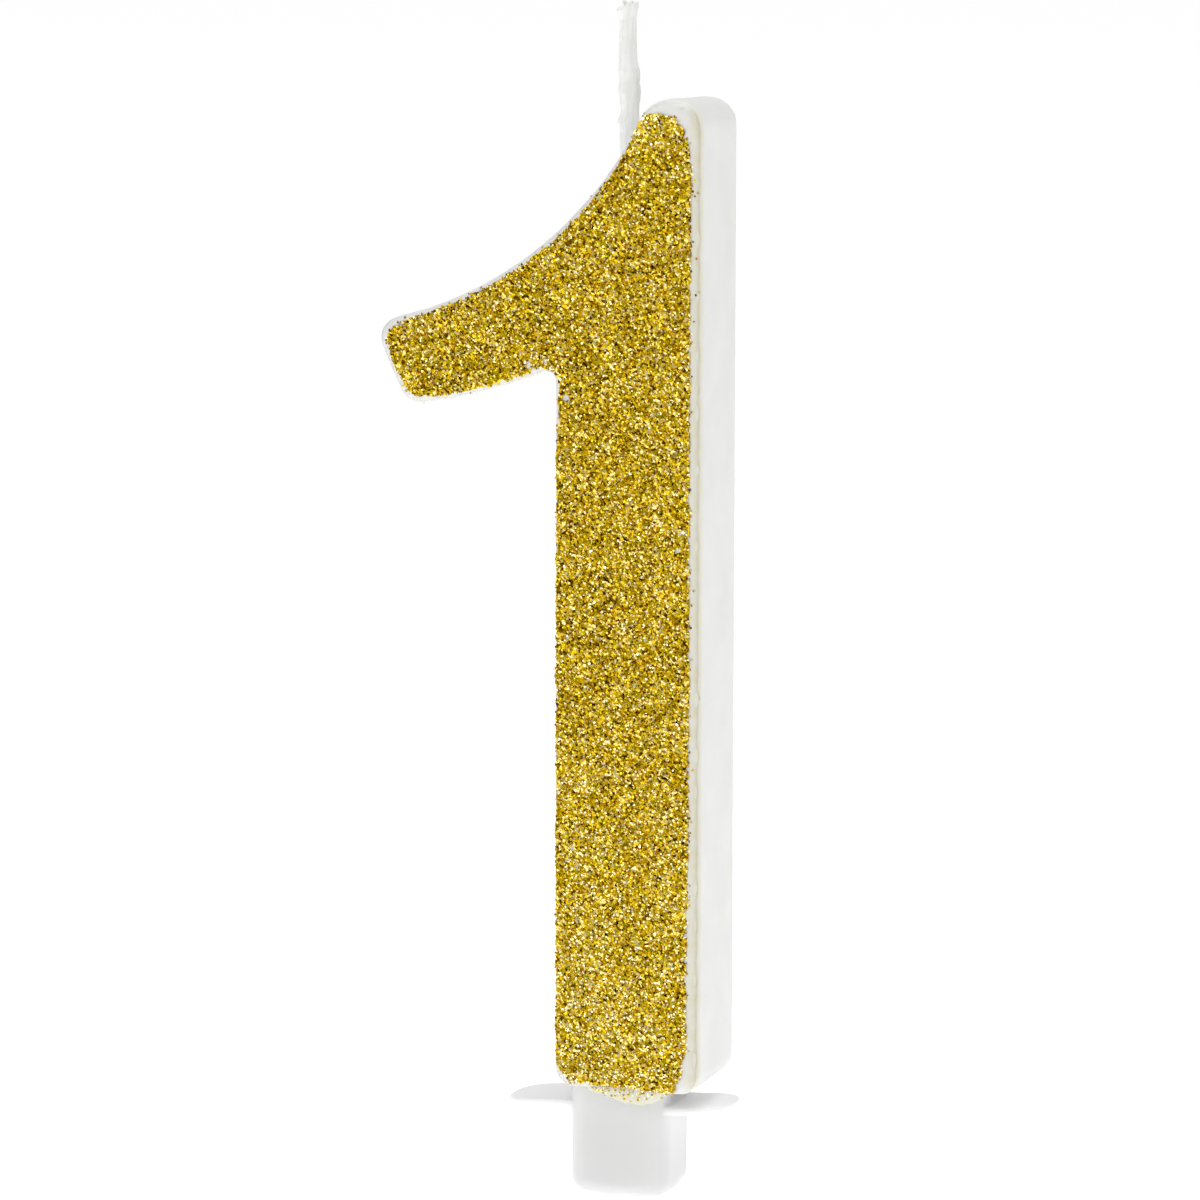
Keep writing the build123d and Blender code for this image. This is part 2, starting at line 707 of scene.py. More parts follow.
@dataclass(frozen=True)
class PaperFloorFinish:
    """A plain pale studio floor."""

    colour: Colour = (0.96, 0.96, 0.96)
    glow: float = 0.52

    def make(self, name: str) -> Material:
        """Builds the material.

        Args:
            name: the material's name.

        Returns:
            The material.
        """
        bench = ShaderBench(name)
        bench.fix(
            Base_Color=(*self.colour, 1),
            Roughness=0.9,
            Specular_IOR_Level=0.1,
            Emission_Color=(1, 1, 1, 1),
            Emission_Strength=self.glow,
        )
        return bench.material


# ------------------------------------------------------------------ the candle's sub-assemblies


@dataclass
class CakeHolder:
    """The moulded holder: a blind cup with two wings, recast with soft moulded edges."""

    voxel: float = 0.2 * MM
    passes: int = 3
    warp: float = 0.5 * MM  # the left wing droops and the right wing lifts by this much at its tip

    def build(self) -> Object:
        """Models the holder, dresses it and hands it over.

        Returns:
            The finished piece.
        """
        piece = copy_of_node("cake_holder", "cake_holder_moulding")
        recast(piece, self.voxel, self.passes)
        self.warp_wings(piece)
        wear(piece, MOULDED_PLASTIC.make())
        hand_over(piece, "holder", "holder_plastic", "cake_holder")
        return piece

    def warp_wings(self, piece: Object) -> None:
        """Bends the wings a little out of flat, as a thin moulding cools.

        Args:
            piece: the holder.
        """
        low, high = box_of("cake_holder")
        reach = (high.x - low.x) / 2
        places = vertex_array(piece)
        middle = (low.x + high.x) / 2
        out = np.clip((np.abs(places[:, 0] - middle) / reach - 0.5) * 2, 0, 1)
        places[:, 2] += np.sign(places[:, 0] - middle) * self.warp * out**1.5
        set_vertices(piece, places)


@dataclass
class WaxDigit:
    """The poured wax numeral with its tang."""

    voxel: float = 0.4 * MM
    passes: int = 4
    waviness: float = 0.09 * MM
    sink: float = 0.4 * MM  # how far the poured back sank as it cooled
    sink_margin: float = 4.5 * MM
    collar_height: float = 0.45 * MM  # wax drawn up round the wick
    collar_reach: float = 2.6 * MM
    slump: float = 0.5 * MM  # how far the crown falls away towards the back
    slow_wave: float = 9 * MM
    quick_wave: float = 2.6 * MM
    quick_share: float = 0.45
    rim_gap: float = 0.3 * MM  # the waves start this far above the cup's rim
    crown_height: float = 6 * MM

    def build(self) -> Object:
        """Models the wax and dresses it.

        Returns:
            The wax piece.
        """
        piece = copy_of_node("wax_digit", "wax_digit_casting")
        recast(piece, self.voxel, self.passes)
        self.raise_collar(piece)
        self.soften(piece)
        low, high = box_of("wax_digit")
        wear(piece, WaxFinish().make("white_paraffin", low.y, high.x))
        hand_over(piece, "candle", "white_wax", "wax_digit")
        return piece

    def soften(self, piece: Object) -> None:
        """Gives the cast surfaces their slow waves and sinks the poured back.

        Args:
            piece: the wax.
        """
        low, high = box_of("wax_digit")
        foot = box_of("cake_holder")[1].z + self.rim_gap
        shape = FaceMap(piece)
        places = vertex_array(piece)
        normals = vertex_array(piece, "normal")
        for index, (place, normal) in enumerate(zip(places.copy(), normals)):
            slow = noise.noise(Vector(place) / self.slow_wave)
            quick = noise.noise(Vector(place) / self.quick_wave + Vector((7, 3, 1)))
            shift = self.waviness * (slow + self.quick_share * quick) * 0.5 - 0.2 * self.waviness
            if place[1] > high.y - 1.2 * MM and normal[1] > 0.7:
                inset = shape.inset(place[0], place[2])
                shift -= self.sink * smoothstep(inset, 0.8 * MM, self.sink_margin)
            if place[2] > foot:
                places[index] = place + normal * shift
                crown = smoothstep(place[2], high.z - self.crown_height, high.z)
                places[index][2] -= self.slump * crown * smoothstep(place[1], low.y + 1 * MM, high.y)
        set_vertices(piece, places)

    def raise_collar(self, piece: Object) -> None:
        """Draws the wax up round the wick where it comes out.

        Args:
            piece: the wax.
        """
        wick_low, wick_high = box_of("wick_wax_coat")
        axis_x = (wick_low.x + wick_high.x) / 2
        radius = (wick_high.x - wick_low.x) / 2
        places = vertex_array(piece)
        away = np.hypot(places[:, 0] - axis_x, places[:, 1])
        upper = places[:, 2] > box_of("wax_digit")[1].z - 25 * MM
        ring = np.clip(1 - (away - radius) / self.collar_reach, 0, 1) * (away > radius * 0.97) * upper
        places[:, 2] += self.collar_height * ring**2
        set_vertices(piece, places)


class FaceMap:
    """Says where the wax's front lies and how far a point on it is from the digit's edge."""

    def __init__(self, wax: Object) -> None:
        """Reads the wax's skin and the outline that the glitter coat's frame node gives.

        Args:
            wax: the wax piece.
        """
        self.skin = touch_map(wax.data, wax.data.polygons)
        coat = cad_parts["glitter_coat"].data
        self.walls = touch_map(coat, (p for p in coat.polygons if abs(p.normal.y) < 0.5))
        self.fronts = touch_map(coat, (p for p in coat.polygons if p.normal.y < -0.5))
        self.front_y = box_of("glitter_coat")[0].y
        self.coat_inset = box_of("glitter_coat")[0].x - box_of("wax_digit")[0].x

    def inset(self, x: float, z: float) -> float:
        """How far inside the digit's edge a point of the front is, and below 0 outside.

        Args:
            x: the point's X.
            z: the point's Z.

        Returns:
            The distance.
        """
        point = Vector((x, self.front_y, z))
        gap = self.walls.find_nearest(point)[3]
        start = point - Vector((0, CLEAR_OF_FACE, 0))
        inside = self.fronts.ray_cast(start, Vector((0, 1, 0)))[0] is not None
        return self.coat_inset + (gap if inside else -gap)

    def step_out(self, x: float, z: float, stride: float) -> tuple[float, float]:
        """Moves a point straight towards the digit's nearest edge.

        Args:
            x: the point's X.
            z: the point's Z.
            stride: how far it moves.

        Returns:
            The new X and Z.
        """
        reach = 0.05 * MM
        rise_x = self.inset(x + reach, z) - self.inset(x - reach, z)
        rise_z = self.inset(x, z + reach) - self.inset(x, z - reach)
        steepness = math.hypot(rise_x, rise_z) or 1.0
        return x - rise_x / steepness * stride, z - rise_z / steepness * stride

    def surface(self, x: float, z: float) -> tuple[Vector, Vector] | None:
        """The wax's front surface at a point, as seen from straight ahead.

        Args:
            x: the point's X.
            z: the point's Z.

        Returns:
            The place and its normal, or None beside the digit.
        """
        start = Vector((x, self.front_y - CLEAR_OF_FACE, z))
        place, normal, _, _ = self.skin.ray_cast(start, Vector((0, 1, 0)))
        return None if place is None else (place, normal)


@dataclass(frozen=True)
class WaxLump:
    """A swelling of the wick's coat."""

    below_tip: float
    size: float
    side: float  # the way it hangs, as an angle about the wick
    length: float

    def swell_at(self, angle: float, below: float) -> float:
        """How much the lump adds to the coat's radius at an angle and depth below the tip."""
        facing = 0.35 + 0.65 * max(0.0, math.cos(angle - self.side))
        return self.size * facing * math.exp(-(((below - self.below_tip) / self.length) ** 2))


@dataclass
class Wick:
    """The primed wick: three plaited cotton plies in a lumpy coat of wax."""

    coat_segments: int = 30
    coat_rings: int = 400
    fine_from: float = 112 * MM  # the hidden length below this height has few rings
    coarse_share: float = 0.12
    slant: float = 0.38 * MM  # the tip was cut at a slant
    roughness: float = 0.07 * MM
    ply_radius: float = 0.30 * MM
    plait_width: float = 0.34 * MM
    plait_pitch: float = 4.2 * MM
    plait_steps: int = 14  # points on a ply in one pitch
    bare_tip: float = 0.75 * MM  # the cotton that stands out of the coat
    tip_hollow: tuple[tuple[float, float], ...] = (  # the steps inwards and down into the open tip
        (0.2 * MM, -0.02 * MM),
        (0.2 * MM, -0.2 * MM),
        (0.25 * MM, -0.15 * MM),
    )
    bow: float = 0.3 * MM  # how far the lower free length stands to the right
    right: float = math.radians(18)
    left: float = math.radians(198)

    def __post_init__(self) -> None:
        """Places the lumps."""
        self.lumps = (
            WaxLump(0.6 * MM, 0.45 * MM, self.left, 0.9 * MM),
            WaxLump(0.1 * MM, 0.14 * MM, self.right, 0.9 * MM),
            WaxLump(6.8 * MM, 0.10 * MM, self.left, 1.2 * MM),
            WaxLump(8.9 * MM, 0.26 * MM, self.right, 1.0 * MM),
            WaxLump(8.4 * MM, 0.16 * MM, self.left, 0.9 * MM),
            WaxLump(10.0 * MM, 0.13 * MM, self.left, 12 * MM),
            WaxLump(11.0 * MM, 0.14 * MM, self.right, 1.3 * MM),
            WaxLump(11.2 * MM, 0.36 * MM, self.left, 1.3 * MM),
            WaxLump(13.0 * MM, 0.12 * MM, self.left, 0.8 * MM),
            WaxLump(15.1 * MM, 0.46 * MM, self.left, 0.8 * MM),
            WaxLump(17.2 * MM, 0.24 * MM, self.left, 1.5 * MM),
        )

    def build(self) -> list[Object]:
        """Models, dresses and hands over the braid and its coat.

        Returns:
            The two pieces.
        """
        braid = self.plait()
        wear(braid, COTTON.make())
        hand_over(braid, "candle", "wick_cotton", "wick_braid")
        coat = self.dip()
        wear(coat, WICK_WAX.make())
        hand_over(coat, "candle", "wick_wax", "wick_wax_coat")
        return [braid, coat]

    def lean(self, z: float) -> Vector:
        """How far the wick stands from its straight line at a height.

        Args:
            z: the height.

        Returns:
            The sideways offset.
        """
        free = smoothstep(z, self.fine_from + 8 * MM, self.fine_from + 22 * MM)
        sway = Vector((math.sin(z / (2.6 * MM)), math.cos(z / (3.4 * MM) + 1), 0)) * 0.08 * MM
        straight = smoothstep(z, self.fine_from + 20 * MM, self.fine_from + 29 * MM)
        return (sway + Vector((self.bow * (1 - straight), 0, 0))) * free

    def plait(self) -> Object:
        """Models the three plies as tubes on a plait's path.

        Returns:
            The braid.
        """
        low, high = box_of("wick_braid")
        middle = (low + high) / 2
        plies = []
        for strand in range(3):
            curve = bpy.data.curves.new(f"ply_{strand}", "CURVE")
            curve.dimensions = "3D"
            curve.bevel_depth = self.ply_radius
            curve.bevel_resolution = 2
            curve.use_fill_caps = True
            spline = curve.splines.new("POLY")
            top = high.z - (0.15 + 0.2 * strand) * MM
            steps = int((top - low.z) / (self.plait_pitch / self.plait_steps))
            spline.points.add(steps)
            for index in range(steps + 1):
                z = low.z + (top - low.z) * index / steps
                turn = 2 * math.pi * (z / self.plait_pitch + strand / 3)
                fray = 1 + 1.1 * smoothstep(z, top - 0.8 * MM, top)
                x = middle.x + self.plait_width * math.sin(turn) * fray
                y = self.plait_width * 0.6 * math.sin(2 * turn) * fray
                spline.points[index].co = (*(Vector((x, y, z)) + self.lean(z)), 1)
                spline.points[index].radius = 1 - 0.45 * smoothstep(z, top - 0.5 * MM, top)
            plies.append(add_object(curve.name, curve))
        piece = join_up("wick_braid_plies", plies)
        bpy.ops.object.shade_smooth()
        return piece

    def radius_at(self, angle: float, z: float, tip: float, core: float) -> float:
        """The coat's radius at a height and angle, with its lumps and the plies' ridges.

        Args:
            angle: the angle about the wick.
            z: the height.
            tip: the height of the coat's tip.
            core: the radius without lumps.

        Returns:
            The radius.
        """
        spot = Vector((math.cos(angle), math.sin(angle), z / (0.9 * MM)))
        rough = noise.noise(spot * 1.3) + 0.55 * noise.noise(spot * 3.1)
        ridge = 0.5 * math.cos(3 * angle + z / (2.3 * MM))
        swell = sum(lump.swell_at(angle, tip - z) for lump in self.lumps)
        return core + self.roughness * (rough + ridge) + swell

    def dip(self) -> Object:
        """Models the coat from rings, with a slanted tip that is hollow round the cotton.

        Returns:
            The coat.
        """
        low, high = box_of("wick_wax_coat")
        middle = (low + high) / 2
        tip = high.z - self.bare_tip
        bore = (high.x - low.x) / 2
        clear_selection()
        bpy.ops.mesh.primitive_circle_add(
            vertices=self.coat_segments,
            radius=bore,
            fill_type="NGON",
            location=(middle.x, middle.y, low.z),
        )
        piece = bake_place(bpy.context.object)
        piece.name = "wick_wax_jacket"
        rise = (tip - low.z) / self.coat_rings
        bpy.ops.object.mode_set(mode="EDIT")
        bpy.ops.mesh.select_all(action="SELECT")
        for _ in range(self.coat_rings):
            bpy.ops.mesh.extrude_region_move(TRANSFORM_OT_translate={"value": (0, 0, rise)})
        for inward, sink in self.tip_hollow:
            bpy.ops.mesh.inset(thickness=inward)
            bpy.ops.transform.translate(value=(0, 0, sink))
        bpy.ops.mesh.select_all(action="SELECT")
        bpy.ops.mesh.normals_make_consistent(inside=False)
        bpy.ops.object.mode_set(mode="OBJECT")
        places = vertex_array(piece)
        for index, place in enumerate(places):
            away = math.hypot(place[0] - middle.x, place[1] - middle.y) / bore
            angle = math.atan2(place[1] - middle.y, place[0] - middle.x)
            z = self.respace((place[2] - low.z) / (tip - low.z), low.z, tip)
            free = smoothstep(z, self.fine_from, self.fine_from + 8 * MM)
            radius = bore * 0.98 * (1 - free) + self.radius_at(angle, z, tip, bore) * free
            slope = self.slant * away * math.cos(angle - self.right) * smoothstep(z, tip - 1.4 * MM, tip)
            flat = Vector((math.cos(angle), math.sin(angle), 0)) * radius * away
            places[index] = Vector((middle.x, middle.y, z + slope)) + flat + self.lean(z)
        set_vertices(piece, places)
        take_in_hand(piece)
        bpy.ops.object.shade_smooth_by_angle(angle=math.radians(50))
        return piece

    def respace(self, share: float, foot: float, tip: float) -> float:
        """Crowds the rings into the free length: a ring's height from its share of the way up.

        Args:
            share: the ring's share of the way up, if all were evenly spaced.
            foot: the height of the wick's foot.
            tip: the height of the coat's tip.

        Returns:
            The ring's height.
        """
        if share < self.coarse_share:
            return foot + (self.fine_from - foot) * share / self.coarse_share
        fine_share = 1 - self.coarse_share
        climbed = (tip - self.fine_from) * (share - self.coarse_share) / fine_share
        return self.fine_from + climbed


@dataclass
class GlueFace:
    """The glue under the glitter, with the run that set below the wax's lower edge."""

    pitch: float = 0.5 * MM
    film: float = 0.06 * MM
    margin: float = 0.32 * MM
    run_left: float = -2.2 * MM
    run_right: float = 7.6 * MM
    run_drops: int = 20
    run_voxel: float = 0.14 * MM
    run_passes: int = 12
    wall: float = 0.1 * MM

    def build(self, face: FaceMap) -> Object:
        """Models, dresses and hands over the glue.

        Args:
            face: the map of the wax's front.

        Returns:
            The finished piece.
        """
        film = draped_grid("glue_film_skin", face, self.pitch, self.margin_at, lambda: self.film)
        apply_modifier(film, "SOLIDIFY", thickness=self.wall, offset=-1)
        film = join_up(film.name, [film, self.set_run()])
        bpy.ops.object.shade_smooth()
        right = box_of("wax_digit")[1].x
        wear(film, GlueFinish().make("set_clear_glue", right, foot_of_gold()))
        hand_over(film, "candle", "clear_glue", "glue_film")
        return film

    def margin_at(self, x: float, z: float) -> float:
        """The width of dry wax between the digit's edge and the glue at a point."""
        return self.margin + 0.16 * MM * noise.noise(Vector((x, 0, z)) / (2.5 * MM))

    def set_run(self) -> Object:
        """Models the run as overlapping drops that are fused and smoothed.

        Returns:
            The run.
        """
        low, _ = box_of("glue_film")
        front = box_of("wax_digit")[0].y
        chance = random.Random(11)
        drops = []
        for index in range(self.run_drops):
            share = (index + 0.5) / self.run_drops
            hang = 0.1 + 0.9 * math.sin(math.pi * share**1.5) * chance.uniform(0.85, 1.05)
            clear_selection()
            bpy.ops.mesh.primitive_uv_sphere_add(segments=20, ring_count=12, radius=1 * MM)
            drop = bpy.context.object
            drop.scale = (0.9, 0.5 + 0.2 * hang, 0.7 + 0.8 * hang)
            x = self.run_left + (self.run_right - self.run_left) * share
            drop.location = (x, front + 0.72 * MM, low.z + 1.6 * MM - 0.8 * MM * hang)
            drops.append(bake_place(drop))
        piece = join_up("glue_run", drops)
        recast(piece, self.run_voxel, self.run_passes)
        return piece


def draped_grid(
    name: str,
    face: FaceMap,
    pitch: float,
    margin: Callable[[float, float], float],
    height: Callable[[], float],
    jitter: float = 0.0,
) -> Object:
    """Drapes a grid over the wax's front and trims it to a margin inside the digit's edge.

    Args:
        name: the new piece's name.
        face: the map of the wax's front.
        pitch: the grid's spacing.
        margin: gives the width of wax that stays uncovered near a point's X and Z.
        height: gives the sheet's height over the wax for each grid point.
        jitter: how far a grid point may stray sideways.

    Returns:
        The open sheet.
    """
    low, high = box_of("wax_digit")
    foot = 2.0 * MM
    width, tall = high.x - low.x, high.z - foot
    clear_selection()
    bpy.ops.mesh.primitive_grid_add(
        x_subdivisions=round(width / pitch),
        y_subdivisions=round(tall / pitch),
        size=1,
        location=((low.x + high.x) / 2, low.y, (foot + high.z) / 2),
        rotation=(math.pi / 2, 0, 0),
    )
    piece = bpy.context.object
    piece.scale = (width, tall, 1)
    piece.name = name
    bake_place(piece)
    chance = random.Random(name)
    places = vertex_array(piece)
    dropped = np.zeros(len(places), bool)
    for index, (x, _, z) in enumerate(places):
        x += chance.uniform(-jitter, jitter)
        z += chance.uniform(-jitter, jitter)
        spare = face.inset(x, z) - margin(x, z)
        if -0.5 * pitch < spare < 0.8 * pitch:
            x, z = face.step_out(x, z, spare)
            spare = 0.0
        found = face.surface(x, z) if spare >= 0 else None
        if found is None or found[1].y > -0.2:
            dropped[index] = True
            continue
        places[index] = found[0] + found[1] * height()
    set_vertices(piece, places)
    bpy.ops.object.mode_set(mode="EDIT")
    bpy.ops.mesh.select_mode(type="VERT")
    bpy.ops.mesh.select_all(action="DESELECT")
    bpy.ops.object.mode_set(mode="OBJECT")
    piece.data.vertices.foreach_set("select", dropped)
    bpy.ops.object.mode_set(mode="EDIT")
    bpy.ops.mesh.delete(type="VERT")
    bpy.ops.mesh.select_all(action="SELECT")
    bpy.ops.mesh.delete_loose(use_verts=True, use_edges=True, use_faces=False)
    bpy.ops.object.mode_set(mode="OBJECT")
    return piece


@dataclass(frozen=True)
class BarePlace:
    """A place round which the gold stops further inside the digit's edge."""

    x: float
    z: float
    extra: float
    reach: float

    def width_at(self, x: float, z: float) -> float:
        """The extra width of bare wax that this place gives a point."""
        return self.extra * math.exp(-((x - self.x) ** 2 + (z - self.z) ** 2) / self.reach**2)


@dataclass
class GlitterFace:
    """The glitter: a bed of packed grains with loose foil flakes lying over it."""

    bed_pitch: float = 0.33 * MM
    bed_low: float = 0.10 * MM
    bed_high: float = 0.30 * MM
    flakes: int = 20000
    flake_small: float = 0.12 * MM  # radii
    flake_large: float = 0.18 * MM
    flake_thickness: float = 0.03 * MM
    strays: int = 330
    run_flakes: int = 70
    bare_spots: int = 9
    margin: float = 0.8 * MM
    bed_wall: float = 0.08 * MM
    bed_jitter: float = 0.1 * MM
    flake_lean: float = 0.30
    stray_reach: float = 0.16 * MM  # how soon the strays thin out beyond the gold
    stem_from_tip: float = 22.9 * MM  # from the holder's right tip to the stem's left side
    turned_away: float = -0.15  # no flake lies where the wax's normal has a Y above this
    lowest_flake: float = 2.5 * MM
    foot_top: float = 44 * MM  # where the lowest band of flakes ends
    stem_top: float = 90 * MM
    stray_lift: float = 0.10 * MM
    flake_lift: tuple[float, float] = (0.18, 0.38)  # the least and most, in millimetres
    run_spread: float = 0.75  # how far the caught flakes spread downwards, in millimetres
    patchiness: float = 0.14
    paler_foot: float = 0.18
    paler_crown: float = 0.3

    def __post_init__(self) -> None:
        """Reads the digit's size, names its places and makes the foils."""
        self.low, self.high = box_of("wax_digit")
        self.foot = foot_of_gold()
        self.stem_left = box_of("cake_holder")[1].x - self.stem_from_tip
        self.chance = random.Random(2024)
        self.spots: list[tuple[float, float, float]] = []
        # the darkest foil is partly painted shade and the palest foils are partly painted glints
        self.foils = [FoilFinish(tone).make() for tone in FoilToneWithPaintedLight]
        low, high, foot = self.low, self.high, self.foot
        self.bare_places = (
            BarePlace(high.x - 5.2 * MM, high.z, 1.1 * MM, 2.4 * MM),
            BarePlace(high.x - 1.2 * MM, high.z - 1 * MM, 2.5 * MM, 3.7 * MM),
            BarePlace(high.x - 8 * MM, high.z - 3 * MM, -0.45 * MM, 4 * MM),
            BarePlace(low.x + 5 * MM, high.z - 27 * MM, -0.3 * MM, 6 * MM),
            BarePlace(low.x, high.z - 30 * MM, 0.55 * MM, 6 * MM),
            BarePlace(low.x + 3.8 * MM, high.z - 41 * MM, 0.5 * MM, 4 * MM),
            BarePlace(self.stem_left, foot, 1.0 * MM, 2.6 * MM),
            BarePlace(high.x - 1.6 * MM, foot, 0.9 * MM, 2 * MM),
        )

    def build(self, face: FaceMap, glue: Object) -> list[Object]:
        """Models, dresses and hands over the bed and the flakes.

        Args:
            face: the map of the wax's front.
            glue: the glue, whose run caught some flakes.

        Returns:
            The finished pieces.
        """
        self.place_bare_spots(face)
        pieces = [self.pack_bed(face)]
        bands = self.scatter(face)
        bands["foot"] += self.caught_by_run(glue)
        template = self.flake_template()
        for name, flakes in bands.items():
            piece = self.lay_flakes(f"glitter_flakes_{name}", flakes, template)
            hand_over(piece, "candle", "gold_glitter")
            pieces.append(piece)
        bpy.data.objects.remove(template)
        return pieces

    def margin_at(self, x: float, z: float) -> float:
        """The width of bare wax between the digit's edge and the gold at a point.

        Args:
            x: the point's X.
            z: the point's Z.

        Returns:
            The width.
        """
        if any(math.hypot(x - sx, z - sz) < radius for sx, sz, radius in self.spots):
            return NO_GOLD
        on_right = smoothstep(x, self.high.x - 4 * MM, self.high.x - 1 * MM)
        on_left = 1 - smoothstep(x, self.stem_left, self.stem_left + 3 * MM)
        under_flag = 1 - smoothstep(z, self.high.z - 46 * MM, self.high.z - 42 * MM)
        low_down = 1 - smoothstep(z, 28 * MM, 40 * MM)
        at_foot = 1 - smoothstep(z, self.foot + 4 * MM, self.foot + 6 * MM)
        lowest = 1 - smoothstep(z, self.foot + 0.7 * MM, self.foot + 2 * MM)
        width = self.margin - 0.38 * MM * under_flag * on_left
        width += on_right * (0.68 + 0.3 * low_down + 1.2 * at_foot) * MM
        width -= lowest * (0.1 + 0.9 * smoothstep(x, 3 * MM, 8 * MM)) * (1 - on_right) * MM
        width += sum(place.width_at(x, z) for place in self.bare_places)
        width += 0.22 * MM * noise.noise(Vector((x, 4 * MM, z)) / (2.2 * MM))
        width += 0.16 * MM * noise.noise(Vector((x, 9 * MM, z)) / (0.7 * MM))
        return width

    def place_bare_spots(self, face: FaceMap) -> None:
        """Chooses small places, mostly near the edges, where the glitter didn't take.

        Args:
            face: the map of the wax's front.
        """
        self.spots.append((self.stem_left + 1.75 * MM, self.high.z - 39 * MM, 0.36 * MM))
        while len(self.spots) < self.bare_spots:
            x = self.chance.uniform(self.low.x, self.high.x)
            z = self.chance.uniform(6 * MM, self.high.z)
            if 1.5 * MM < face.inset(x, z) < 3.5 * MM:
                self.spots.append((x, z, self.chance.uniform(0.12, 0.2) * MM))

    def bed_height(self) -> float:
        """The height of one packed grain over the wax."""
        return self.chance.uniform(self.bed_low, self.bed_high)

    def pack_bed(self, face: FaceMap) -> Object:
        """Models the bed as a sheet of small facets at random heights, then gives it a back.

        Args:
            face: the map of the wax's front.

        Returns:
            The finished bed.
        """
        piece = draped_grid(
            "glitter_packed_bed", face, self.bed_pitch, self.margin_at, self.bed_height, self.bed_jitter
        )
        apply_modifier(piece, "SOLIDIFY", thickness=self.bed_wall, offset=-1)
        take_in_hand(piece)
        bpy.ops.object.mode_set(mode="EDIT")
        bpy.ops.mesh.select_all(action="SELECT")
        bpy.ops.mesh.quads_convert_to_tris(quad_method="FIXED_ALTERNATE")
        bpy.ops.object.mode_set(mode="OBJECT")
        bpy.ops.object.shade_flat()
        wear(piece, GlitterBedFinish().make("packed_gold_grains"))
        hand_over(piece, "candle", "gold_glitter", "glitter_coat")
        return piece

    def flake_template(self) -> Object:
        """Models one flake: a thin hexagon of unit radius."""
        clear_selection()
        bpy.ops.mesh.primitive_cylinder_add(vertices=6, radius=1, depth=1, end_fill_type="NGON")
        return bpy.context.object

    def scatter(self, face: FaceMap) -> dict[str, list[tuple]]:
        """Chooses each flake's place, lean, size and tone, sorted into bands up the digit.

        Args:
            face: the map of the wax's front.

        Returns:
            The flakes of each band, by the band's name.
        """
        bands: dict[str, list[tuple]] = {"foot": [], "stem": [], "flag": []}
        placed = 0
        while placed < self.flakes + self.strays:
            stray = placed >= self.flakes
            x = self.chance.uniform(self.low.x, self.high.x)
            z = self.chance.uniform(self.lowest_flake, self.high.z)
            spare = face.inset(x, z) - self.margin_at(x, z)
            wanted = spare >= 0
            if stray:
                wanted = spare < 0 and self.chance.random() < math.exp(spare / self.stray_reach)
            found = face.surface(x, z) if wanted else None
            if found is None or found[1].y > self.turned_away:
                continue
            place, normal = found
            lift = self.stray_lift if stray else self.chance.uniform(*self.flake_lift) * MM
            band = "foot" if z < self.foot_top else "stem" if z < self.stem_top else "flag"
            bands[band].append(self.one_flake(place + normal * lift, normal, x, z))
            placed += 1
        return bands

    def caught_by_run(self, glue: Object) -> list[tuple]:
        """The flakes that stuck to the run of glue under the gold.

        Args:
            glue: the glue, whose run caught them.

        Returns:
            The flakes.
        """
        skin = touch_map(glue.data, glue.data.polygons)
        caught: list[tuple] = []
        while len(caught) < self.run_flakes:
            x = self.chance.uniform(-2 * MM, self.high.x - 4 * MM)
            z = self.foot + 0.3 * MM - abs(self.chance.gauss(0, self.run_spread)) * MM
            start = Vector((x, self.low.y - CLEAR_OF_FACE, z))
            place, normal, _, _ = skin.ray_cast(start, Vector((0, 1, 0)))
            if place is not None and place.z < self.foot + 0.4 * MM:
                caught.append(self.one_flake(place + normal * 0.03 * MM, normal, x, z))
        return caught

    def one_flake(self, place: Vector, normal: Vector, x: float, z: float) -> tuple:
        """One flake's place, frame of axes, radius and tone index.

        Args:
            place: where its middle lies.
            normal: the way the face looks there.
            x: the X that sets its tone.
            z: the Z that sets its tone.

        Returns:
            The place, the three axes, the radius and the tone's index.
        """
        lean = Vector([self.chance.gauss(0, 1) for _ in range(3)]) * self.flake_lean
        up = (normal + lean).normalized()
        spin = self.chance.uniform(0, math.pi)
        side = up.orthogonal().normalized()
        side = (Matrix.Rotation(spin, 3, up) @ side).normalized()
        radius = self.chance.uniform(self.flake_small, self.flake_large)
        return place, side, up.cross(side), up, radius, self.pick_tone(x, z)

    def pick_tone(self, x: float, z: float) -> int:
        """A tone's index, chosen by share and shifted by patches of lighter and darker gold.

        Args:
            x: the point's X.
            z: the point's Z.

        Returns:
            The index of a tone.
        """
        patch = noise.noise(Vector((x / (7 * MM), 0, z / (2.2 * MM))))
        paler = self.paler_foot * (1 - smoothstep(z, 10 * MM, 60 * MM))
        paler += self.paler_crown * smoothstep(z, self.high.z - 7 * MM, self.high.z - 2 * MM)
        roll = min(0.999, max(0.0, self.chance.random() + self.patchiness * patch + paler))
        total = 0.0
        for index, tone in enumerate(FoilToneWithPaintedLight):
            total += tone.share
            if roll < total:
                return index
        return len(FoilToneWithPaintedLight) - 1

